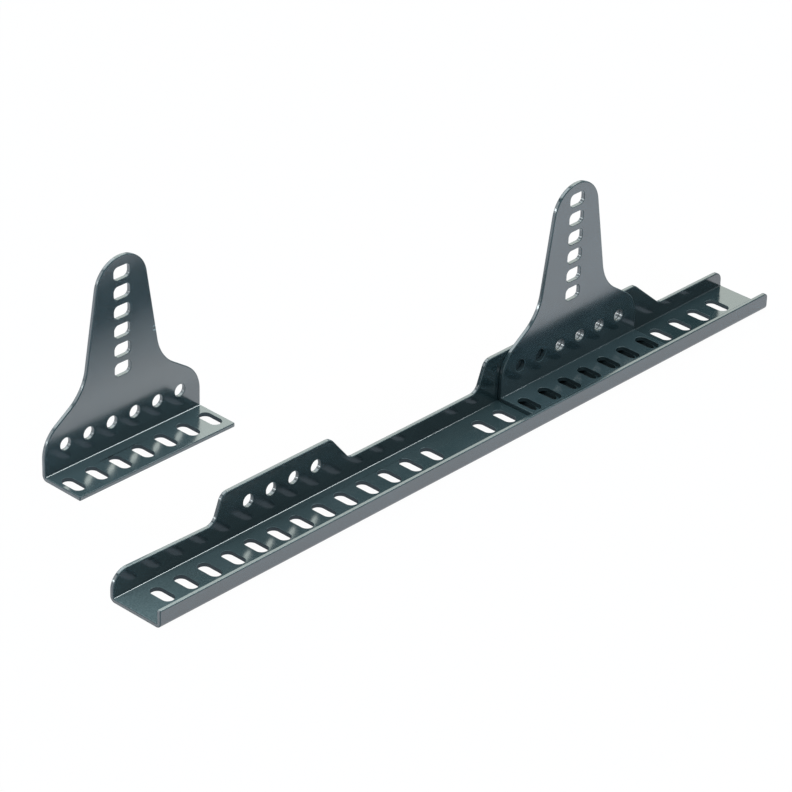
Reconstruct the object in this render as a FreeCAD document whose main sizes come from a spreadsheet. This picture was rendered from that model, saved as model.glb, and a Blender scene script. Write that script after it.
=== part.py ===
import FreeCAD, Part
import math
import os
import re
import Sketcher
from FreeCAD import Placement, Rotation, Vector

# Seat side mount: a slotted channel rail and two upright brackets, all folded from 3 mm sheet.
# One bracket is seated in the rail, its leg against the rail's rear tab.
# Its twin for the front tab is shown taken off, standing on its base beside the rail.
#
# Frame: +X runs along the rail to its rear end, +Y to the high flange, +Z up.
# The origin is on the underside of the rail's web, on the slot line, midway between the two
# groups of slots. All sizes are in millimetres, angles in degrees.

SIZES = {
    # Sheet metal, common to the three pieces
    "sheet": 3.0,
    "bend_inside": 0.8,
    "hole_diameter": 9.0,
    "slot_pitch": 20.0,
    "slot_length": 18.4,
    "slot_width": 8.9,
    # Rail, across: distances from the slot line
    "flange_face": 17.0,
    "lip_reach": 24.6,
    "lip_height": 13.0,
    "lip_front_corner": 1.2,
    "lip_rear_corner": 3.2,
    # Rail, along: slots
    "group_slots": 13,
    "group_gap": 50.0,
    "rail_end": 25.0,
    # Rail, high flange: heights from the underside of the web
    "front_end_height": 20.9,
    "front_foot_height": 18.6,
    "middle_height": 17.0,
    "rear_foot_height": 14.8,
    "rear_end_height": 14.3,
    "tab_height": 38.1,
    # Rail, tabs: distances along the rail from the middle of each tab's holes
    "tab_offset": 145.0,
    "tab_holes": 4,
    "front_rise_foot": 59.5,
    "front_rise_top": 52.0,
    "front_fall_top": 43.5,
    "front_fall_foot": 61.0,
    "rear_rise_foot": 108.5,
    "rear_rise_top": 100.5,
    "rear_fall_top": 50.0,
    "rear_fall_foot": 77.0,
    "tab_corner": 7.0,
    "tab_foot": 7.5,
    "front_end_corner": 12.5,
    "rear_end_corner": 6.8,
    # Bracket, base: distances from its slot line
    "leg_face": 18.0,
    "base_reach": 15.2,
    "base_slots": 7,
    "base_end": 8.0,
    # Bracket, leg: heights from the underside of the base
    "leg_holes": 6,
    "leg_hole_height": 20.8,
    "bracket_height": 139.0,
    "tower_radius": 22.0,
    "waist_half_width": 33.0,
    "waist_height": 52.3,
    "waist_radius": 34.0,
    "shoulder_height": 28.7,
    "shoulder_radius": 25.0,
    "tower_slots": 6,
    "tower_slot_pitch": 14.0,
    "tower_slot_drop": 12.0,
    "tower_slot_length": 13.9,
    "tower_slot_width": 9.5,
    "tower_slot_corner": 3.5,
    # Where the brackets stand
    "seat_clearance": 0.05,
    "spare_across": 132.8,
    "spare_along": -157.1,
    "spare_turn": -0.45,
}

document = FreeCAD.newDocument("seat_side_mount")
sheet_of_sizes = document.addObject("Spreadsheet::Sheet", "sizes")
for row, (alias, value) in enumerate(SIZES.items(), start=1):
    sheet_of_sizes.set("A%d" % row, alias)
    sheet_of_sizes.set("B%d" % row, str(value))
    sheet_of_sizes.setAlias("B%d" % row, alias)
document.recompute()


def size(alias):
    """The value of one driving dimension, read from the sheet."""
    return float(sheet_of_sizes.get(alias))


def rule(text):
    """A sum of driving dimensions, with each name turned into a reference to the sheet."""
    return re.sub(r"\b[a-z]\w*\b(?!\()", r"sizes.\g<0>", text)


def bind(thing, prop, text):
    """Tie one property of an object to the driving dimensions."""
    thing.setExpression(prop, rule(text))


def origin_feature(body, role):
    """A body's own base plane or axis."""
    return next(feature for feature in body.Origin.OriginFeatures if feature.Role == role)


# Sketches

def new_sketch(body, name, plane, turn=0.0, **offsets):
    """A sketch on a base plane, shifted in the plane's own x, y, z by rules of dimensions."""
    sketch = body.newObject("Sketcher::SketchObject", name)
    sketch.AttachmentSupport = [(origin_feature(body, plane), "")]
    sketch.MapMode = "FlatFace"
    sketch.AttachmentOffset = Placement(Vector(), Rotation(Vector(0, 0, 1), turn))
    for axis, text in offsets.items():
        bind(sketch, "AttachmentOffset.Base." + axis, text)
    return sketch


def place_point(sketch, line, end, across, up):
    """Dimension one end of a line from the sketch's origin; '0' puts it on the axis."""
    here = sketch.getPoint(line, end)
    for kind, text, now, axis in (("DistanceX", across, here.x, -2), ("DistanceY", up, here.y, -1)):
        if text == "0":
            sketch.addConstraint(Sketcher.Constraint("PointOnObject", line, end, axis))
        else:
            index = sketch.addConstraint(Sketcher.Constraint(kind, -1, 1, line, end, now))
            bind(sketch, "Constraints[%d]" % index, text)


def polygon(sketch, corners):
    """A closed outline; its lines start on a rough ring and the dimensions pull them in place."""
    count = len(corners)
    ring = [Vector(0, 10, 0)]
    for _ in corners[1:]:
        ring.append(Rotation(Vector(0, 0, 1), 360.0 / count).multVec(ring[-1]))
    for index in range(count):
        sketch.addGeometry(Part.LineSegment(ring[index], ring[(index + 1) % count]))
    for index in range(count):
        sketch.addConstraint(Sketcher.Constraint("Coincident", index, 2, (index + 1) % count, 1))
    for index, (across, up) in enumerate(corners):
        place_point(sketch, index, 1, across, up)


def obround(sketch, length, width):
    """A slot with full-round ends about the sketch's origin, along the sketch's x axis."""
    radius = size(width) / 2
    reach = size(length) / 2 - radius
    centres = (Vector(-reach, 0, 0), Vector(reach, 0, 0))
    quarter = math.pi / 2
    up = Vector(0, 0, 1)
    sketch.addGeometry(Part.ArcOfCircle(Part.Circle(centres[0], up, radius), quarter, 3 * quarter))
    sketch.addGeometry(Part.ArcOfCircle(Part.Circle(centres[1], up, radius), -quarter, quarter))
    side = Vector(0, radius, 0)
    sketch.addGeometry(Part.LineSegment(centres[0] - side, centres[1] - side))
    sketch.addGeometry(Part.LineSegment(centres[1] + side, centres[0] + side))
    for first, second in ((0, 2), (2, 1), (1, 3), (3, 0)):
        sketch.addConstraint(Sketcher.Constraint("Tangent", first, 2, second, 1))
    sketch.addConstraint(Sketcher.Constraint("Equal", 0, 1))
    sketch.addConstraint(Sketcher.Constraint("PointOnObject", 0, 3, -1))
    sketch.addConstraint(Sketcher.Constraint("Symmetric", 0, 3, 1, 3, -1, 1))
    index = sketch.addConstraint(Sketcher.Constraint("Diameter", 0, 2 * radius))
    bind(sketch, "Constraints[%d]" % index, width)
    index = sketch.addConstraint(Sketcher.Constraint("DistanceX", 0, 3, 1, 3, 2 * reach))
    bind(sketch, "Constraints[%d]" % index, length + " - " + width)


def rounded_slot(sketch, length, width, corner):
    """A slot with rounded corners about the sketch's origin, along the sketch's x axis."""
    radius = size(corner)
    reach = size(length) / 2 - radius
    rise = size(width) / 2 - radius
    quarter = math.pi / 2
    signs = ((1, 1), (-1, 1), (-1, -1), (1, -1))
    centres = [Vector(across * reach, up * rise, 0) for across, up in signs]
    for index, centre in enumerate(centres):
        bend = Part.Circle(centre, Vector(0, 0, 1), radius)
        sketch.addGeometry(Part.ArcOfCircle(bend, index * quarter, (index + 1) * quarter))
    for index in range(4):
        angle = (index + 1) * quarter
        out = Vector(radius * math.cos(angle), radius * math.sin(angle), 0)
        sketch.addGeometry(Part.LineSegment(centres[index] + out, centres[(index + 1) % 4] + out))
    for index in range(4):
        side = index + 4
        sketch.addConstraint(Sketcher.Constraint("Tangent", index, 2, side, 1))
        sketch.addConstraint(Sketcher.Constraint("Tangent", side, 2, (index + 1) % 4, 1))
        sketch.addConstraint(Sketcher.Constraint("Vertical" if index % 2 else "Horizontal", side))
    for index in (1, 2, 3):
        sketch.addConstraint(Sketcher.Constraint("Equal", 0, index))
    sketch.addConstraint(Sketcher.Constraint("Symmetric", 0, 3, 2, 3, -1, 1))
    index = sketch.addConstraint(Sketcher.Constraint("Radius", 0, radius))
    bind(sketch, "Constraints[%d]" % index, corner)
    index = sketch.addConstraint(Sketcher.Constraint("DistanceX", 1, 3, 0, 3, 2 * reach))
    bind(sketch, "Constraints[%d]" % index, "%s - 2 * %s" % (length, corner))
    index = sketch.addConstraint(Sketcher.Constraint("DistanceY", 3, 3, 0, 3, 2 * rise))
    bind(sketch, "Constraints[%d]" % index, "%s - 2 * %s" % (width, corner))


def circle(sketch, diameter):
    """A round hole about the sketch's origin."""
    sketch.addGeometry(Part.Circle(Vector(), Vector(0, 0, 1), size(diameter) / 2))
    sketch.addConstraint(Sketcher.Constraint("Coincident", 0, 3, -1, 1))
    index = sketch.addConstraint(Sketcher.Constraint("Diameter", 0, size(diameter)))
    bind(sketch, "Constraints[%d]" % index, diameter)


# Features

def pad(body, name, sketch, length, backwards=False):
    """Thicken a sketch; backwards is against the sketch's own normal."""
    feature = body.newObject("PartDesign::Pad", name)
    feature.Profile = sketch
    feature.Reversed = backwards
    bind(feature, "Length", length)
    document.recompute()
    return feature


def cut_row(body, name, sketch, upright, axis, pitch, count, against=False):
    """Cut a sketch through a flat or upright sheet and repeat it in a row at an even pitch."""
    before = body.Shape.Volume
    cut = body.newObject("PartDesign::Pocket", name)
    cut.Profile = sketch
    cut.Reversed = not upright
    bind(cut, "Length", "sheet")
    document.recompute()
    if body.Shape.Volume > before - size("sheet"):
        raise RuntimeError(name + " cuts nothing")
    row = body.newObject("PartDesign::LinearPattern", name + "_row")
    row.Originals = [cut]
    row.Direction = (origin_feature(body, axis), [""])
    row.Reversed = against
    bind(row, "Occurrences", count)
    bind(row, "Length", "%s * (%s - 1)" % (pitch, count))
    body.Tip = row
    document.recompute()


def edges_near(shape, direction, spots):
    """Names of straight edges that run along a direction through any of the given spots."""
    names = []
    for index, edge in enumerate(shape.Edges, start=1):
        start, end = edge.Vertexes[0].Point, edge.Vertexes[-1].Point
        run = end - start
        if run.Length < 1e-6 or run.cross(direction).Length > 1e-6 * run.Length:
            continue
        if any((spot - start).cross(direction).Length < 1e-3 for spot in spots):
            names.append("Edge%d" % index)
    return names


def fillet(body, name, direction, spots, radius):
    """Round the edges that run along a direction through the spots."""
    base = body.Tip
    names = edges_near(base.Shape, direction, spots)
    if len(names) < len(spots):
        raise RuntimeError("%s found %d edges for %d spots" % (name, len(names), len(spots)))
    feature = body.newObject("PartDesign::Fillet", name)
    feature.Base = (base, names)
    bind(feature, "Radius", radius)
    document.recompute()


ALONG = Vector(1, 0, 0)
ACROSS = Vector(0, 1, 0)


def fold(body, height_face):
    """Turn the square corner between a flat sheet and its upright sheet into a bend."""
    inner = Vector(0, height_face, size("sheet"))
    fillet(body, "inner_bend", ALONG, [inner], "bend_inside")
    outer = Vector(0, height_face + size("sheet"), 0)
    fillet(body, "outer_bend", ALONG, [outer], "bend_inside + sheet")


# Rail

HALF_RAIL = "rail_end + slot_pitch * (group_slots - 1) + group_gap / 2"


def half_rail():
    """Half the rail's length, from the same dimensions as its slots."""
    slots = size("slot_pitch") * (size("group_slots") - 1)
    return size("rail_end") + slots + size("group_gap") / 2


def make_rail():
    """The channel: a slotted web, a low lip in front and a high flange with two tabs behind."""
    body = document.addObject("PartDesign::Body", "rail")
    body.Label = "rail"

    # Web and lip: an L section drawn across the rail, with room for the flange at its back
    section = new_sketch(body, "channel_section", "YZ_Plane", z="-(" + HALF_RAIL + ")")
    polygon(section, [
        ("-lip_reach", "0"),
        ("flange_face + sheet", "0"),
        ("flange_face + sheet", "sheet"),
        ("sheet - lip_reach", "sheet"),
        ("sheet - lip_reach", "lip_height"),
        ("-lip_reach", "lip_height"),
    ])
    pad(body, "web_and_lip", section, "2 * (" + HALF_RAIL + ")")

    # High flange: its top edge steps up to a bolting tab near each end
    outline = new_sketch(body, "flange_outline", "XZ_Plane", z="-flange_face")
    polygon(outline, [
        ("-(" + HALF_RAIL + ")", "0"),
        (HALF_RAIL, "0"),
        (HALF_RAIL, "rear_end_height"),
        ("tab_offset + rear_fall_foot", "rear_foot_height"),
        ("tab_offset + rear_fall_top", "tab_height"),
        ("tab_offset - rear_rise_top", "tab_height"),
        ("tab_offset - rear_rise_foot", "middle_height"),
        ("front_fall_foot - tab_offset", "middle_height"),
        ("front_fall_top - tab_offset", "tab_height"),
        ("-tab_offset - front_rise_top", "tab_height"),
        ("-tab_offset - front_rise_foot", "front_foot_height"),
        ("-(" + HALF_RAIL + ")", "front_end_height"),
    ])
    pad(body, "flange", outline, "sheet", backwards=True)

    # Rounded corners of the flange's outline
    face = size("flange_face")
    offset, tab = size("tab_offset"), size("tab_height")
    tops = [
        Vector(offset + size("rear_fall_top"), face, tab),
        Vector(offset - size("rear_rise_top"), face, tab),
        Vector(size("front_fall_top") - offset, face, tab),
        Vector(-offset - size("front_rise_top"), face, tab),
    ]
    fillet(body, "tab_corners", ACROSS, tops, "tab_corner")
    feet = [
        Vector(offset + size("rear_fall_foot"), face, size("rear_foot_height")),
        Vector(offset - size("rear_rise_foot"), face, size("middle_height")),
        Vector(size("front_fall_foot") - offset, face, size("middle_height")),
        Vector(-offset - size("front_rise_foot"), face, size("front_foot_height")),
    ]
    fillet(body, "tab_feet", ACROSS, feet, "tab_foot")
    front_end = Vector(-half_rail(), face, size("front_end_height"))
    fillet(body, "flange_front", ACROSS, [front_end], "front_end_corner")
    rear_end = Vector(half_rail(), face, size("rear_end_height"))
    fillet(body, "flange_rear", ACROSS, [rear_end], "rear_end_corner")

    # Corners of the lip
    lip = -size("lip_reach")
    front_corner = Vector(-half_rail(), lip, size("lip_height"))
    fillet(body, "lip_front", ACROSS, [front_corner], "lip_front_corner")
    rear_corner = Vector(half_rail(), lip, size("lip_height"))
    fillet(body, "lip_rear", ACROSS, [rear_corner], "lip_rear_corner")

    # Bends along both long edges of the web
    fold(body, face)
    inner = Vector(0, lip + size("sheet"), size("sheet"))
    fillet(body, "lip_inner_bend", ALONG, [inner], "bend_inside")
    fillet(body, "lip_outer_bend", ALONG, [Vector(0, lip, 0)], "bend_inside + sheet")

    # Two groups of crosswise slots in the web, the same distance from the middle
    for name, against, where in (
        ("front_slots", True, "-group_gap / 2"),
        ("rear_slots", False, "group_gap / 2"),
    ):
        slot = new_sketch(body, name + "_sketch", "XY_Plane", turn=90, x=where)
        obround(slot, "slot_length", "slot_width")
        cut_row(body, name, slot, False, "X_Axis", "slot_pitch", "group_slots", against)

    # A row of round bolt holes in each tab
    height = "sheet + leg_hole_height"
    for name, middle in (("front_tab_holes", "-tab_offset"), ("rear_tab_holes", "tab_offset")):
        first = middle + " - slot_pitch * (tab_holes - 1) / 2"
        hole = new_sketch(body, name + "_sketch", "XZ_Plane", x=first, y=height, z="-flange_face")
        circle(hole, "hole_diameter")
        cut_row(body, name, hole, True, "X_Axis", "slot_pitch", "tab_holes")
    return body


# Brackets

def leg_outline(sketch):
    """The leg: square ends, sloping shoulders and a tapered tower with a round top."""
    half = size("base_end") + size("slot_pitch") * (size("base_slots") - 1) / 2
    radius = size("tower_radius")
    centre = Vector(0, size("bracket_height") - radius, 0)
    waist = Vector(size("waist_half_width"), size("waist_height"), 0)
    # First guess of the point where the tower's side meets its round top
    lean = math.atan2(waist.x, centre.y - waist.y) - math.asin(radius / centre.distanceToPoint(waist))
    touch = centre + Vector(radius * math.cos(lean), radius * math.sin(lean), 0)
    corners = [
        Vector(-half, 0, 0),
        Vector(half, 0, 0),
        Vector(half, size("shoulder_height"), 0),
        waist,
        touch,
    ]
    mirrored = [Vector(-point.x, point.y, 0) for point in reversed(corners[2:])]
    right = corners + mirrored
    for index in range(4):
        sketch.addGeometry(Part.LineSegment(right[index], right[index + 1]))
    top = Part.Circle(centre, Vector(0, 0, 1), radius)
    sketch.addGeometry(Part.ArcOfCircle(top, lean, math.pi - lean))
    for index in range(5, 8):
        sketch.addGeometry(Part.LineSegment(right[index], right[(index + 1) % 8]))
    for index in (0, 1, 2, 5, 6, 7):
        sketch.addConstraint(Sketcher.Constraint("Coincident", index, 2, (index + 1) % 8, 1))
    sketch.addConstraint(Sketcher.Constraint("Tangent", 3, 2, 4, 1))
    sketch.addConstraint(Sketcher.Constraint("Tangent", 4, 2, 5, 1))
    index = sketch.addConstraint(Sketcher.Constraint("Radius", 4, radius))
    bind(sketch, "Constraints[%d]" % index, "tower_radius")
    place_point(sketch, 4, 3, "0", "bracket_height - tower_radius")
    end = "base_end + slot_pitch * (base_slots - 1) / 2"
    place_point(sketch, 0, 1, "-(" + end + ")", "0")
    place_point(sketch, 1, 1, end, "0")
    place_point(sketch, 2, 1, end, "shoulder_height")
    place_point(sketch, 3, 1, "waist_half_width", "waist_height")
    place_point(sketch, 6, 1, "-waist_half_width", "waist_height")
    place_point(sketch, 7, 1, "-(" + end + ")", "shoulder_height")


def make_bracket(label):
    """An angle bracket: a slotted base and an upright leg that tapers to a slotted tower."""
    body = document.addObject("PartDesign::Body", label)
    body.Label = label
    half_length = "base_end + slot_pitch * (base_slots - 1) / 2"

    # Base plate
    section = new_sketch(body, label + "_section", "YZ_Plane", z="-(" + half_length + ")")
    polygon(section, [
        ("-base_reach", "0"),
        ("leg_face + sheet", "0"),
        ("leg_face + sheet", "sheet"),
        ("-base_reach", "sheet"),
    ])
    pad(body, "base_plate", section, "2 * (" + half_length + ")")

    # Leg, with its shoulders and its waist rounded
    outline = new_sketch(body, label + "_outline", "XZ_Plane", z="-leg_face")
    leg_outline(outline)
    pad(body, "leg", outline, "sheet", backwards=True)
    face = size("leg_face")
    end = size("base_end") + size("slot_pitch") * (size("base_slots") - 1) / 2
    shoulders = [Vector(side * end, face, size("shoulder_height")) for side in (-1, 1)]
    fillet(body, "shoulders", ACROSS, shoulders, "shoulder_radius")
    waists = [Vector(side * size("waist_half_width"), face, size("waist_height")) for side in (-1, 1)]
    fillet(body, "waists", ACROSS, waists, "waist_radius")
    fold(body, face)

    # Crosswise slots in the base, as in the rail's web
    slot = new_sketch(
        body, label + "_base_slot", "XY_Plane", turn=90, x="-slot_pitch * (base_slots - 1) / 2"
    )
    obround(slot, "slot_length", "slot_width")
    cut_row(body, "base_slots", slot, False, "X_Axis", "slot_pitch", "base_slots")

    # Round bolt holes low in the leg
    first = "-slot_pitch * (leg_holes - 1) / 2"
    hole = new_sketch(
        body, label + "_leg_hole", "XZ_Plane", x=first, y="leg_hole_height", z="-leg_face"
    )
    circle(hole, "hole_diameter")
    cut_row(body, "leg_holes", hole, True, "X_Axis", "slot_pitch", "leg_holes")

    # Level slots up the tower, for the height of the seat
    top = "bracket_height - tower_slot_drop"
    slot = new_sketch(body, label + "_tower_slot", "XZ_Plane", y=top, z="-leg_face")
    rounded_slot(slot, "tower_slot_length", "tower_slot_width", "tower_slot_corner")
    cut_row(
        body, "tower_slots", slot, True, "Z_Axis", "tower_slot_pitch", "tower_slots", against=True
    )
    return body


# The three pieces, each placed in the mount's frame

rail = make_rail()

# The rear bracket stands on the web, its leg against the flange; the last holes of its leg
# line up with the holes of the rear tab
rear_bracket = make_bracket("rear_bracket")
bind(rear_bracket, "Placement.Base.x", "tab_offset - slot_pitch * (leg_holes - tab_holes) / 2")
bind(rear_bracket, "Placement.Base.y", "flange_face - sheet - leg_face - seat_clearance")
bind(rear_bracket, "Placement.Base.z", "sheet")

# The front bracket is off the rail, on the same ground, turned a little
front_bracket = make_bracket("front_bracket")
bind(front_bracket, "Placement.Base.x", "spare_along")
bind(front_bracket, "Placement.Base.y", "spare_across")
front_bracket.Placement.Rotation = Rotation(Vector(0, 0, 1), 1)
bind(front_bracket, "Placement.Rotation.Angle", "spare_turn")
document.recompute()

# Write the pieces

for item in document.Objects:
    if "Invalid" in item.State or "Error" in item.State:
        raise RuntimeError("%s failed: %s" % (item.Name, item.State))
pieces = (rail, rear_bracket, front_bracket)
for piece in pieces:
    if piece.Shape.isNull() or not piece.Shape.isValid():
        raise RuntimeError(piece.Label + " has no valid shape")
os.makedirs("parts", exist_ok=True)
for piece in pieces:
    piece.Shape.exportStep("parts/" + piece.Label + ".step")
    box = piece.Shape.BoundBox
    print(
        "%s: %d solid, %.1f cm3, x %.1f to %.1f, y %.1f to %.1f, z %.1f to %.1f" % (
            piece.Label, len(piece.Shape.Solids), piece.Shape.Volume / 1000,
            box.XMin, box.XMax, box.YMin, box.YMax, box.ZMin, box.ZMax,
        )
    )
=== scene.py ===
# %% [markdown]
# # Seat side mount
# The object is three pieces of folded 3 mm steel sheet: a long slotted channel rail, a bracket
# seated in it, and the same bracket taken off and standing beside it. The CAD solids have the
# exact outlines, so this lesson keeps their shape, breaks their cut edges as a finisher's brush
# does, paints them, and lights them the way a studio lights a shiny part on white.

# %% Load the frame
import math
import bmesh
import bpy
from mathutils import Matrix, Vector


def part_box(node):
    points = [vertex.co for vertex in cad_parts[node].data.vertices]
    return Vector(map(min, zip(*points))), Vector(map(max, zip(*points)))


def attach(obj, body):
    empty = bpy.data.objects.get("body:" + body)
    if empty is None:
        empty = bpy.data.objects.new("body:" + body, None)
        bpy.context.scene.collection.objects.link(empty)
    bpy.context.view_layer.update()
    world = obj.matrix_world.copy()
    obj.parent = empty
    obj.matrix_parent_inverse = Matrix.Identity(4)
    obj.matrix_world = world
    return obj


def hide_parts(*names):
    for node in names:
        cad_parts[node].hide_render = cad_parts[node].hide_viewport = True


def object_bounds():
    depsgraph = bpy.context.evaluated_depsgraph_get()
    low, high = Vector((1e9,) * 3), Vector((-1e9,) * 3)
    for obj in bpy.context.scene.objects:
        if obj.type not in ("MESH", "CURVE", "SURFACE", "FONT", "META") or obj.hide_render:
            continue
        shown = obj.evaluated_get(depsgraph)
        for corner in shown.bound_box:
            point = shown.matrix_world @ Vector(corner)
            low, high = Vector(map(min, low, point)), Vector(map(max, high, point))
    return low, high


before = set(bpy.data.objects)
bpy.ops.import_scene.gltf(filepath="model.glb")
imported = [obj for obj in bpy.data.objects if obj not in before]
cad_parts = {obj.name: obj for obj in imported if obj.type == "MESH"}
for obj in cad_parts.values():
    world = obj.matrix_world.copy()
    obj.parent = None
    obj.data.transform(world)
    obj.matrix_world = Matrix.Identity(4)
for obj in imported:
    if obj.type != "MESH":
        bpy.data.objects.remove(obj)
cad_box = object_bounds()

MM = 0.001
print("pieces:", sorted(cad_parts))

# %% [markdown]
# ## Edges
# A plasma or laser cut sheet has square edges. Before it is painted they are brushed, and the
# paint then rounds them a little more, here to a radius of 0.6 mm. That radius is what draws the
# thin line along each edge, light or dark. A shader trick could fake it, but a real bevel also
# shows in the outline, and stays in the mesh itself. A CAD mesh is loose triangles, so a copy
# is welded first, its flat faces are joined, and then the Bevel modifier rounds each edge that
# turns more sharply than the facets of the round corners do. A brush hardly reaches into the
# holes and slots, so their rims get a smaller weight, and with it a smaller radius. The rounded
# strips get a material slot of their own, because paint dries thinner and duller on an edge.

# %% Break the cut edges of a copy of each piece
EDGE_RADIUS = 0.6 * MM
EDGE_SEGMENTS = 4
EDGE_MATERIAL = 1
# The share of the full radius at the rim of an opening, and the most that a rim measures across
RIM_SHARE = 0.5
RIM_REACH = 25 * MM
SHARP_ANGLE = math.radians(40)
FLAT_ANGLE = math.radians(0.05)
WELD_GAP = 0.001 * MM
# The largest weight there is: a flat face keeps its own normal, and the rounded strips bend to it
FACE_WEIGHT = 100


def only(piece):
    """Select one object and nothing else."""
    bpy.ops.object.select_all(action="DESELECT")
    piece.select_set(True)
    bpy.context.view_layer.objects.active = piece


def weigh_edges(piece):
    """Full weight for the sharp edges of the outline, and a small one for the rims of openings."""
    shape = bmesh.new()
    shape.from_mesh(piece.data)
    weight = shape.edges.layers.float.new("bevel_weight_edge")
    sharp = {edge for edge in shape.edges if edge.calc_face_angle(0.0) > SHARP_ANGLE}
    rims = 0
    while sharp:
        run = [sharp.pop()]
        for edge in run:
            near = {other for vert in edge.verts for other in vert.link_edges} & sharp
            sharp -= near
            run.extend(near)
        corners = [vert.co for edge in run for vert in edge.verts]
        reach = max(max(corner[axis] for corner in corners) - min(corner[axis] for corner in corners)
                    for axis in range(3))
        rims += reach < RIM_REACH
        for edge in run:
            edge[weight] = RIM_SHARE if reach < RIM_REACH else 1.0
    shape.to_mesh(piece.data)
    shape.free()
    print(piece.name, "has", rims, "rims of holes and slots")


def finished_copy(node):
    """A welded copy of a CAD piece with its cut edges rounded."""
    piece = bpy.data.objects.new(node + "_finished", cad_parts[node].data.copy())
    bpy.context.scene.collection.objects.link(piece)
    piece.data.materials.clear()
    piece.data.materials.append(None)
    piece.data.materials.append(None)
    only(piece)
    bpy.ops.object.mode_set(mode="EDIT")
    bpy.ops.mesh.select_all(action="SELECT")
    bpy.ops.mesh.customdata_custom_splitnormals_clear()
    bpy.ops.mesh.remove_doubles(threshold=WELD_GAP)
    bpy.ops.mesh.dissolve_limited(angle_limit=FLAT_ANGLE)
    bpy.ops.object.mode_set(mode="OBJECT")
    weigh_edges(piece)
    bevel = piece.modifiers.new("broken_edges", "BEVEL")
    bevel.width = EDGE_RADIUS
    bevel.segments = EDGE_SEGMENTS
    bevel.limit_method = "WEIGHT"
    bevel.use_clamp_overlap = False
    bevel.material = EDGE_MATERIAL
    bpy.ops.object.modifier_apply(modifier=bevel.name)
    bpy.ops.object.shade_smooth_by_angle(angle=SHARP_ANGLE)
    flatten = piece.modifiers.new("flat_faces", "WEIGHTED_NORMAL")
    flatten.keep_sharp = True
    flatten.weight = FACE_WEIGHT
    bpy.ops.object.modifier_apply(modifier=flatten.name)
    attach(piece, "root")
    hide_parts(node)
    print(node, "has", len(piece.data.polygons), "faces")
    return piece


rail = finished_copy("rail")
rear_bracket = finished_copy("rear_bracket")
front_bracket = finished_copy("front_bracket")

# %% [markdown]
# ## Paint
# The steel has a baked gloss enamel in a dark grey-green. A coat of enamel is glassy: most of
# what the eye sees in it is a mirror image of its surroundings, slightly blurred, over a very
# dark body colour. So one Principled shader does the work, with a dark base, a low roughness
# that drifts a little from place to place, and a faint orange peel, the fine waviness that a
# sprayed coat dries with. Handling leaves fine specks of dust on the faces that look up, most at
# the rail's open front end. Those faces are also paled by painted light, more towards the front,
# as if the light fell off towards the rear. Two short pale scratches, a few millimetres long,
# mark the edge of the spare bracket's tower.

# %% Helpers for colours and nodes


def colour(code):
    """An sRGB hex code as the linear colour that the shaders take."""
    parts = [int(code[index:index + 2], 16) / 255 for index in (1, 3, 5)]
    linear = [part / 12.92 if part <= 0.04045 else ((part + 0.055) / 1.055) ** 2.4 for part in parts]
    return (*linear, 1.0)


def add_node(tree, kind, settings=None, values=None, links=None):
    """Add a node with its settings, its socket values and its incoming links."""
    node = tree.nodes.new(kind)
    for name, value in (settings or {}).items():
        setattr(node, name, value)
    for name, value in (values or {}).items():
        node.inputs[name].default_value = value
    for name, socket in (links or {}).items():
        tree.links.new(socket, node.inputs[name])
    return node


def new_material(name):
    """An empty material, with its tree and its output node."""
    material = bpy.data.materials.new(name)
    material.use_nodes = True
    tree = material.node_tree
    tree.nodes.clear()
    return material, tree, add_node(tree, "ShaderNodeOutputMaterial")


def remap(tree, value, taken, given=(0.0, 1.0), curve="LINEAR"):
    """The socket of a value moved from one range to another."""
    node = add_node(
        tree, "ShaderNodeMapRange", {"interpolation_type": curve},
        {"From Min": taken[0], "From Max": taken[1], "To Min": given[0], "To Max": given[1]},
        {"Value": value},
    )
    return node.outputs["Result"]


def noise(tree, place, size, detail):
    """The socket of a noise whose bumps are about so wide."""
    node = add_node(
        tree, "ShaderNodeTexNoise", values={"Scale": 1 / size, "Detail": detail},
        links={"Vector": place},
    )
    return node.outputs["Fac"]


def fade_between(tree, amount, first, last, span=(0.0, 1.0)):
    """The socket of a colour that goes from the first to the last as the amount crosses a span."""
    ramp = add_node(tree, "ShaderNodeValToRGB", links={"Fac": amount})
    for element, position, code in zip(ramp.color_ramp.elements, span, (first, last)):
        element.position = position
        element.color = colour(code)
    return ramp.outputs["Color"]


# %% Dust, painted light and scratches
SPECK_SIZE = 1.1 * MM
# The range of the speck noise that counts, and by how much it thins or thickens the thick dust
SPECK_NOISE, SPECK_EFFECT = (0.35, 0.75), (0.6, 1.6)
# The stretch along the rail that each layer covers, and how much lies at its two ends: the first
# is painted light, paler towards the front, and the second is speckled dust at the front end
THIN_STRETCH, THIN_PAINTED_LIGHT = (-290 * MM, 220 * MM), (0.13, 0.0)
THICK_STRETCH, THICK_DUST = (-320 * MM, -210 * MM), (0.24, 0.0)
# The upward part of a face's normal: bare up to the first number, fully paled from the second
UPWARD_SLOPE = (0.75, 0.95)
SCRATCH_DEPTH = 2 * MM
# In shares of its half length and half width, a scratch shows from the first, fully at the second
SCRATCH_FADE = (1.0, 0.5)
# The middle of each scratch, half its length and half its width, in millimetres, and how pale it is
SCRATCHES = (
    ((-129.0, 150.8, 74.7), 2.2, 0.9, 1.0),
    ((-129.4, 150.8, 77.9), 1.9, 0.8, 0.7),
)


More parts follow.
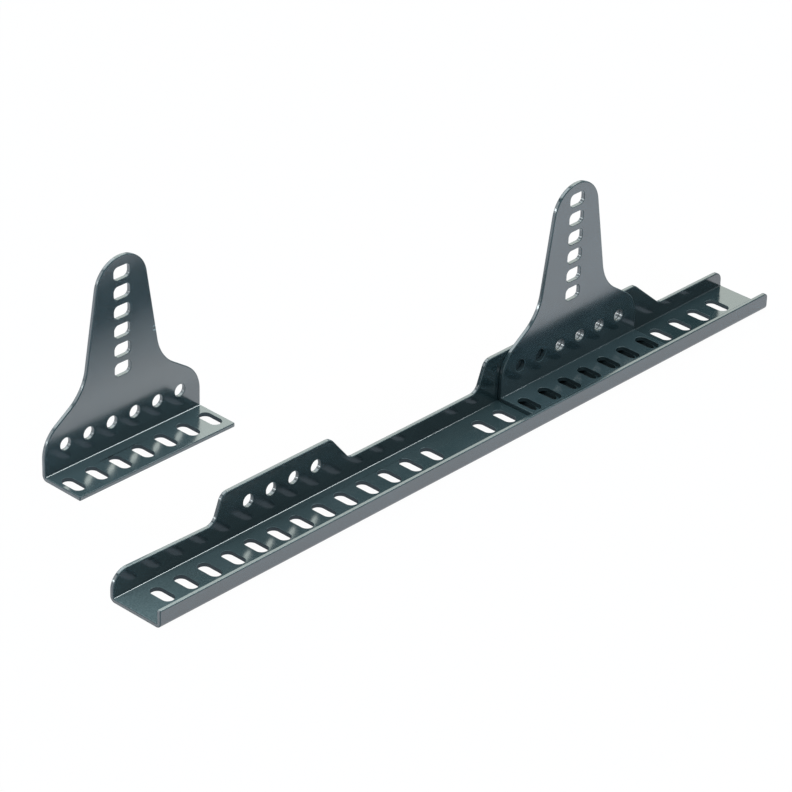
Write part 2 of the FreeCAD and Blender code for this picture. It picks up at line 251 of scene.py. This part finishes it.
def dust_and_light_film(tree, texture):
    """How much each place is paled: painted light on upward faces, falling off to the rear, and dust.
    """
    place = texture.outputs["Object"]
    along = add_node(tree, "ShaderNodeSeparateXYZ", links={"Vector": place})
    facing = add_node(tree, "ShaderNodeSeparateXYZ", links={"Vector": texture.outputs["Normal"]})
    # Painted light: the thin layer pales upward faces more towards the front; the speckled thick one is
    # dust
    thin = remap(tree, along.outputs["X"], THIN_STRETCH, THIN_PAINTED_LIGHT)
    thick = remap(tree, along.outputs["X"], THICK_STRETCH, THICK_DUST, "SMOOTHSTEP")
    specks = remap(tree, noise(tree, place, SPECK_SIZE, 1.0), SPECK_NOISE, SPECK_EFFECT)
    uneven = add_node(
        tree, "ShaderNodeMath", {"operation": "MULTIPLY_ADD"}, links={0: thick, 1: specks, 2: thin}
    )
    level = remap(tree, facing.outputs["Z"], UPWARD_SLOPE)
    film = add_node(
        tree, "ShaderNodeMath", {"operation": "MULTIPLY"},
        links={0: uneven.outputs["Value"], 1: level},
    )
    return film.outputs["Value"]


def scratched(tree, texture, film):
    """The film of dust and painted light, with the pale scratches at the edge of the spare bracket's
    tower.
    """
    for middle, length, width, paleness in SCRATCHES:
        within = add_node(
            tree, "ShaderNodeMapping", {"vector_type": "TEXTURE"},
            {
                "Location": [value * MM for value in middle],
                "Scale": (length * MM, SCRATCH_DEPTH, width * MM),
            },
            {"Vector": texture.outputs["Object"]},
        )
        reach = add_node(
            tree, "ShaderNodeVectorMath", {"operation": "LENGTH"}, links={0: within.outputs["Vector"]}
        )
        mark = remap(tree, reach.outputs["Value"], SCRATCH_FADE, (0.0, paleness))
        both = add_node(
            tree, "ShaderNodeMath", {"operation": "MAXIMUM"}, links={0: film, 1: mark}
        )
        film = both.outputs["Value"]
    return film


# %% Sprayed enamel
PEEL_SIZE = 1.6 * MM
PEEL_HEIGHT = 0.02 * MM
PEEL_STRENGTH = 0.07
DRIFT_SIZE = 45 * MM
# The ranges of the drift noise over which the roughness and the colour of the coat change
SHEEN_DRIFT, COAT_DRIFT = (0.3, 0.7), (0.35, 0.65)


def sprayed_enamel(name, thin_coat, thick_coat, dust_and_light, ior, sheen):
    """A sprayed and baked enamel over steel, paled by dust and painted light; sheen is its range of
    roughness.
    """
    material, tree, output = new_material(name)
    texture = add_node(tree, "ShaderNodeTexCoord")
    place = texture.outputs["Object"]
    drift = noise(tree, place, DRIFT_SIZE, 3.0)
    roughness = remap(tree, drift, SHEEN_DRIFT, sheen)
    coat = fade_between(tree, drift, thin_coat, thick_coat, COAT_DRIFT)
    film = scratched(tree, texture, dust_and_light_film(tree, texture))
    surface = add_node(
        tree, "ShaderNodeMix", {"data_type": "RGBA"}, {"B": colour(dust_and_light)},
        {"Factor": film, "A": coat},
    )
    waviness = add_node(
        tree, "ShaderNodeBump", values={"Strength": PEEL_STRENGTH, "Distance": PEEL_HEIGHT},
        links={"Height": noise(tree, place, PEEL_SIZE, 1.0)},
    )
    enamel = add_node(
        tree, "ShaderNodeBsdfPrincipled", values={"IOR": ior},
        links={
            "Base Color": surface.outputs["Result"],
            "Roughness": roughness,
            "Normal": waviness.outputs["Normal"],
        },
    )
    tree.links.new(enamel.outputs["BSDF"], output.inputs["Surface"])
    return material


def paint(piece, faces, edges):
    """Paint a piece's faces and its rounded edges, and print which enamels it has."""
    piece.data.materials[0] = faces
    piece.data.materials[EDGE_MATERIAL] = edges
    print(piece.name, "is painted with", faces.name, "and", edges.name)


# %% Paint the pieces
GLOSS = (0.12, 0.17)
SATIN = (0.30, 0.38)
# The colour of the dust, and of the painted light on the upward faces
DUST_AND_LIGHT = "#88a2a7"

rail_enamel = sprayed_enamel("gloss_enamel_rail", "#213438", "#293c41", DUST_AND_LIGHT, 2.25, GLOSS)
bracket_enamel = sprayed_enamel("gloss_enamel_bracket", "#293d42", "#31454b", DUST_AND_LIGHT, 2.3, GLOSS)
edge_enamel = sprayed_enamel("thin_enamel_edge", "#35484c", "#3d5156", DUST_AND_LIGHT, 1.5, SATIN)
paint(rail, rail_enamel, edge_enamel)
paint(rear_bracket, bracket_enamel, edge_enamel)
paint(front_bracket, bracket_enamel, edge_enamel)

# %% [markdown]
# ## Floor
# The part stands on a white sweep. The camera sees it nearly as plain white, and a small share of
# ordinary paint keeps the part's soft shadow. A floor that glows for the camera has no deep shade,
# though, and the gloss and the slots would show that. So the shade is painted onto cards that lie
# on the floor: one lies between the two parts and fades from a painted grey shade behind the rail
# to white, a dark one lies under each part, where its slots and its mirror images are dim, and a
# black one where two sheets lie on each other and the slots are deep. All but the black one still
# glow white for the camera itself.

# %% Matt card
CAMERA_SHARE = 0.98
# The grey card is darker than the white one beside it, so it needs a larger share to look white
GREY_CAMERA_SHARE = 0.99
GLOSS_SHARE = 0.65
# Where a card's fade starts and ends: its own coordinates reach from -0.5 to 0.5
CARD_FADE = (-0.5, 0.25)


def matt_card(name, tint, camera_share, gloss_share, rear_tint=None):
    """Matt card that glows white for the camera by one share, and in mirror images by another.

    With a second tint, its colour fades from the first to that one, from its front to its rear.
    """
    material, tree, output = new_material(name)
    ray = add_node(tree, "ShaderNodeLightPath")
    mirrored = add_node(
        tree, "ShaderNodeMath", {"operation": "MULTIPLY"}, {1: gloss_share},
        links={0: ray.outputs["Is Glossy Ray"]},
    )
    share = add_node(
        tree, "ShaderNodeMath", {"operation": "MULTIPLY_ADD"}, {1: camera_share},
        links={0: ray.outputs["Is Camera Ray"], 2: mirrored.outputs["Value"]},
    )
    card = add_node(
        tree, "ShaderNodeBsdfPrincipled",
        values={"Base Color": colour(tint), "Roughness": 0.9, "Specular IOR Level": 0.1},
    )
    if rear_tint:
        place = add_node(tree, "ShaderNodeTexCoord")
        across = add_node(tree, "ShaderNodeSeparateXYZ", links={"Vector": place.outputs["Object"]})
        depth = remap(tree, across.outputs["Y"], CARD_FADE)
        tree.links.new(fade_between(tree, depth, tint, rear_tint), card.inputs["Base Color"])
    glow = add_node(tree, "ShaderNodeEmission", values={"Color": colour("#ffffff"), "Strength": 1.0})
    mixed = add_node(
        tree, "ShaderNodeMixShader",
        links={"Fac": share.outputs["Value"], 1: card.outputs["BSDF"], 2: glow.outputs["Emission"]},
    )
    tree.links.new(mixed.outputs["Shader"], output.inputs["Surface"])
    return material


# %% Floor, and cards with painted shade
FLOOR_REACH = 8.0
LAYER = 0.02 * MM
CARD_INSET = 3 * MM


def lay_card(name, low, high, layer, material):
    """A flat card between two corners, so many layers below the part's underside."""
    bpy.ops.object.select_all(action="DESELECT")
    middle = ((low[0] + high[0]) / 2, (low[1] + high[1]) / 2, cad_box[0][2] - layer * LAYER)
    bpy.ops.mesh.primitive_plane_add(size=1.0, location=middle)
    card = bpy.context.object
    card.name = name
    card.scale = (high[0] - low[0], high[1] - low[1], 1.0)
    card.data.materials.append(material)
    print(name, "from", [round(value, 3) for value in low], "to", [round(value, 3) for value in high])


def footprint(node):
    """The lowest and highest corner of what a piece covers, drawn in a little."""
    low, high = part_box(node)
    return (low[0] + CARD_INSET, low[1] + CARD_INSET), (high[0] - CARD_INSET, high[1] - CARD_INSET)


white_card = matt_card("matt_white_card", "#e0ebfc", CAMERA_SHARE, GLOSS_SHARE)
# Painted shade: grey behind the rail, dark under each part, black under the seated bracket
grey_painted_shade_card = matt_card("matt_grey_card", "#767f88", GREY_CAMERA_SHARE, 0.0, "#f4f7fc")
dark_painted_shade_card = matt_card("matt_dark_card", "#848d96", CAMERA_SHARE, 0.0)
deep_painted_shade_card = matt_card("matt_deep_card", "#2c3335", 0.0, 0.0)

lay_card("studio_floor", (-FLOOR_REACH, -FLOOR_REACH), (FLOOR_REACH, FLOOR_REACH), 4, white_card)
rail_low, rail_high = footprint("rail")
spare_low, spare_high = footprint("front_bracket")
between_low, between_high = (spare_low[0], rail_high[1]), (rail_high[0], spare_low[1])
# Cards with painted shade, laid just over the floor
lay_card("painted_shade_card_between", between_low, between_high, 3, grey_painted_shade_card)
lay_card("painted_shade_card_rail", rail_low, rail_high, 2, dark_painted_shade_card)
lay_card("painted_shade_card_spare", spare_low, spare_high, 2, dark_painted_shade_card)
lay_card("painted_shade_card_seated", *footprint("rear_bracket"), 1, deep_painted_shade_card)

# %% [markdown]
# ## Light
# Shiny paint shows the lamps themselves, so they are placed by what each face mirrors. Seen from
# the camera, the level faces mirror the region behind and to the right of the part, where a large
# soft panel hangs. The faces that look towards the front mirror the floor. What is mirrored twice
# comes from the right-hand front, which is left dim, so the folds go dark.

# %% World
ROOM_LEVEL = 0.28

world = bpy.data.worlds.new("studio")
bpy.context.scene.world = world
world.use_nodes = True
sky = world.node_tree
sky.nodes.clear()
dim = add_node(
    sky, "ShaderNodeBackground", values={"Color": colour("#c8d2d8"), "Strength": ROOM_LEVEL}
)
plain = add_node(sky, "ShaderNodeBackground", values={"Color": colour("#ffffff"), "Strength": 1.0})
path = add_node(sky, "ShaderNodeLightPath")
backdrop = add_node(
    sky, "ShaderNodeMixShader",
    links={
        "Fac": path.outputs["Is Camera Ray"],
        1: dim.outputs["Background"],
        2: plain.outputs["Background"],
    },
)
add_node(sky, "ShaderNodeOutputWorld", links={"Surface": backdrop.outputs["Shader"]})


# %% Soft panels
def soft_panel(name, azimuth, elevation, distance, width, height, level, tint):
    """A flat lamp that faces the part; level is its own brightness, 1 being white."""
    turn, lift = math.radians(azimuth), math.radians(elevation)
    outward = Vector((math.cos(turn) * math.cos(lift), math.sin(turn) * math.cos(lift), math.sin(lift)))
    data = bpy.data.lights.new(name, "AREA")
    data.shape = "RECTANGLE"
    data.size = width
    data.size_y = height
    data.color = colour(tint)[:3]
    data.energy = level * math.pi * width * height
    lamp = bpy.data.objects.new(name, data)
    lamp.location = outward * distance
    lamp.rotation_euler = outward.to_track_quat("Z", "Y").to_euler()
    bpy.context.scene.collection.objects.link(lamp)
    print(name, "at", [round(value, 2) for value in lamp.location])
    return lamp


soft_panel("rear_panel", 43, 32, 3.2, 3.0, 2.0, 1.75, "#f7fff6")
top_panel = soft_panel("top_panel", -100, 80, 2.6, 2.6, 2.6, 3.5, "#ffffff")
top_panel.visible_glossy = False
soft_panel("left_panel", 137, 20, 3.2, 2.0, 2.0, 1.3, "#f4fbff")

# %% [markdown]
# ## Glints
# A few lamps draw the thin lights along the bends and the rounded edges. They are hidden from the
# matt part of the paint, so they add a glint without adding light. The overhead panel is the
# other way round: it lights the part, and the gloss doesn't mirror it, so that the rail keeps its
# dark colour when it is seen from straight above.

# %% Glint lamps
GLINT_DISTANCE = 3.0
GLINT_TINT = "#eef8fa"

for name, azimuth, elevation, width, height, level in (
    ("bend_glint", 8, 62, 2.4, 1.2, 8.5),
    ("tower_glint", 190, 17, 0.6, 0.6, 12.0),
    ("arc_glow", 97, 46, 2.0, 2.0, 2.2),
    ("arc_glint", 143, 13, 0.3, 0.3, 9.0),
):
    lamp = soft_panel(name, azimuth, elevation, GLINT_DISTANCE, width, height, level, GLINT_TINT)
    lamp.visible_diffuse = False

# %% [markdown]
# ## Flags
# From the camera, the web mirrors what stands behind the flange. Past the rail's rear end and in
# the holes of the tabs that is the rear panel, but over the low stretches of the flange it is
# dark. That dark mirror image is a painted reflection: flags, strips that glow a dark colour,
# stand on the low stretches, in the plane of the flange's inner face. Only mirrored rays meet
# them, and only from the web's side. The first one fades, so that the painted reflection makes
# the web lighter towards the rail's front end.

# %% Flags with a painted dark reflection on the low stretches of the flange
FLAG_PLANE = 17.2 * MM
FLAG_BOTTOM = 10 * MM
FLAG_TOP = 41 * MM
# Where a flag's fade starts and ends: its own coordinates reach from -0.5 to 0.5
FLAG_FADE = (-0.25, 0.35)
# Where each flag starts and ends along the rail, in millimetres, and its shade at either end
FLAGS = (
    (-290, -202, "#4c5c62", "#26353a"),
    (-98, 44, "#26353a", "#26353a"),
    (196, 290, "#26353a", "#26353a"),
)


def painted_reflection_card(name, front, rear):
    """Painted reflection: a dark glow that fades from one shade to another along its length, one-sided.
    """
    material, tree, output = new_material(name)
    place = add_node(tree, "ShaderNodeTexCoord")
    along = add_node(tree, "ShaderNodeSeparateXYZ", links={"Vector": place.outputs["Object"]})
    length = remap(tree, along.outputs["X"], FLAG_FADE)
    shade = fade_between(tree, length, front, rear)
    side = add_node(tree, "ShaderNodeNewGeometry")
    dark = add_node(tree, "ShaderNodeEmission", links={"Color": shade})
    clear = add_node(tree, "ShaderNodeBsdfTransparent")
    one_sided = add_node(
        tree, "ShaderNodeMixShader",
        links={
            "Fac": side.outputs["Backfacing"],
            1: dark.outputs["Emission"],
            2: clear.outputs["BSDF"],
        },
    )
    tree.links.new(one_sided.outputs["Shader"], output.inputs["Surface"])
    return material


# Painted reflection: each flag glows dark, and only mirrored rays see it
for index, (start, end, front, rear) in enumerate(FLAGS):
    bpy.ops.object.select_all(action="DESELECT")
    middle = ((start + end) / 2 * MM, FLAG_PLANE, (FLAG_BOTTOM + FLAG_TOP) / 2)
    bpy.ops.mesh.primitive_plane_add(size=1.0, location=middle, rotation=(math.pi / 2, 0, 0))
    flag = bpy.context.object
    flag.name = "painted_reflection_flag_%d" % (index + 1)
    flag.scale = ((end - start) * MM, FLAG_TOP - FLAG_BOTTOM, 1.0)
    flag.data.materials.append(painted_reflection_card("flag_card_%d" % (index + 1), front, rear))
    flag.visible_camera = False
    flag.visible_diffuse = False
    flag.visible_transmission = False
    flag.visible_shadow = False
    print(flag.name, "from x =", start, "to", end, "mm")

# %% [markdown]
# ## Camera
# The picture was taken with a long lens from well away, so the rail's far end is hardly smaller
# than its near end. The numbers here put the part's holes where they are in the photograph.

# %% Camera
AZIMUTH = math.radians(-47.1598)
ELEVATION = math.radians(29.9586)
ROLL = math.radians(1.6122)
TARGET = Vector((16.297, 71.435, 0.0)) * MM
DISTANCE = 2576.622 * MM
LENS = 175.607
SENSOR = 36.0
FARTHEST = 50.0

back = Vector((
    math.sin(AZIMUTH) * math.cos(ELEVATION),
    -math.cos(AZIMUTH) * math.cos(ELEVATION),
    math.sin(ELEVATION),
))
right = Vector((math.cos(AZIMUTH), math.sin(AZIMUTH), 0.0))
level = Matrix((right, back.cross(right), back)).transposed()
camera_data = bpy.data.cameras.new("camera")
camera_data.lens = LENS
camera_data.sensor_width = SENSOR
camera_data.clip_end = FARTHEST
camera = bpy.data.objects.new("camera", camera_data)
bpy.context.scene.collection.objects.link(camera)
camera.matrix_world = Matrix.Translation(TARGET + back * DISTANCE) @ (
    level @ Matrix.Rotation(ROLL, 3, "Z")
).to_4x4()
bpy.context.scene.camera = camera
bpy.context.scene.view_settings.view_transform = "Standard"
print("camera at", [round(value, 3) for value in camera.location])
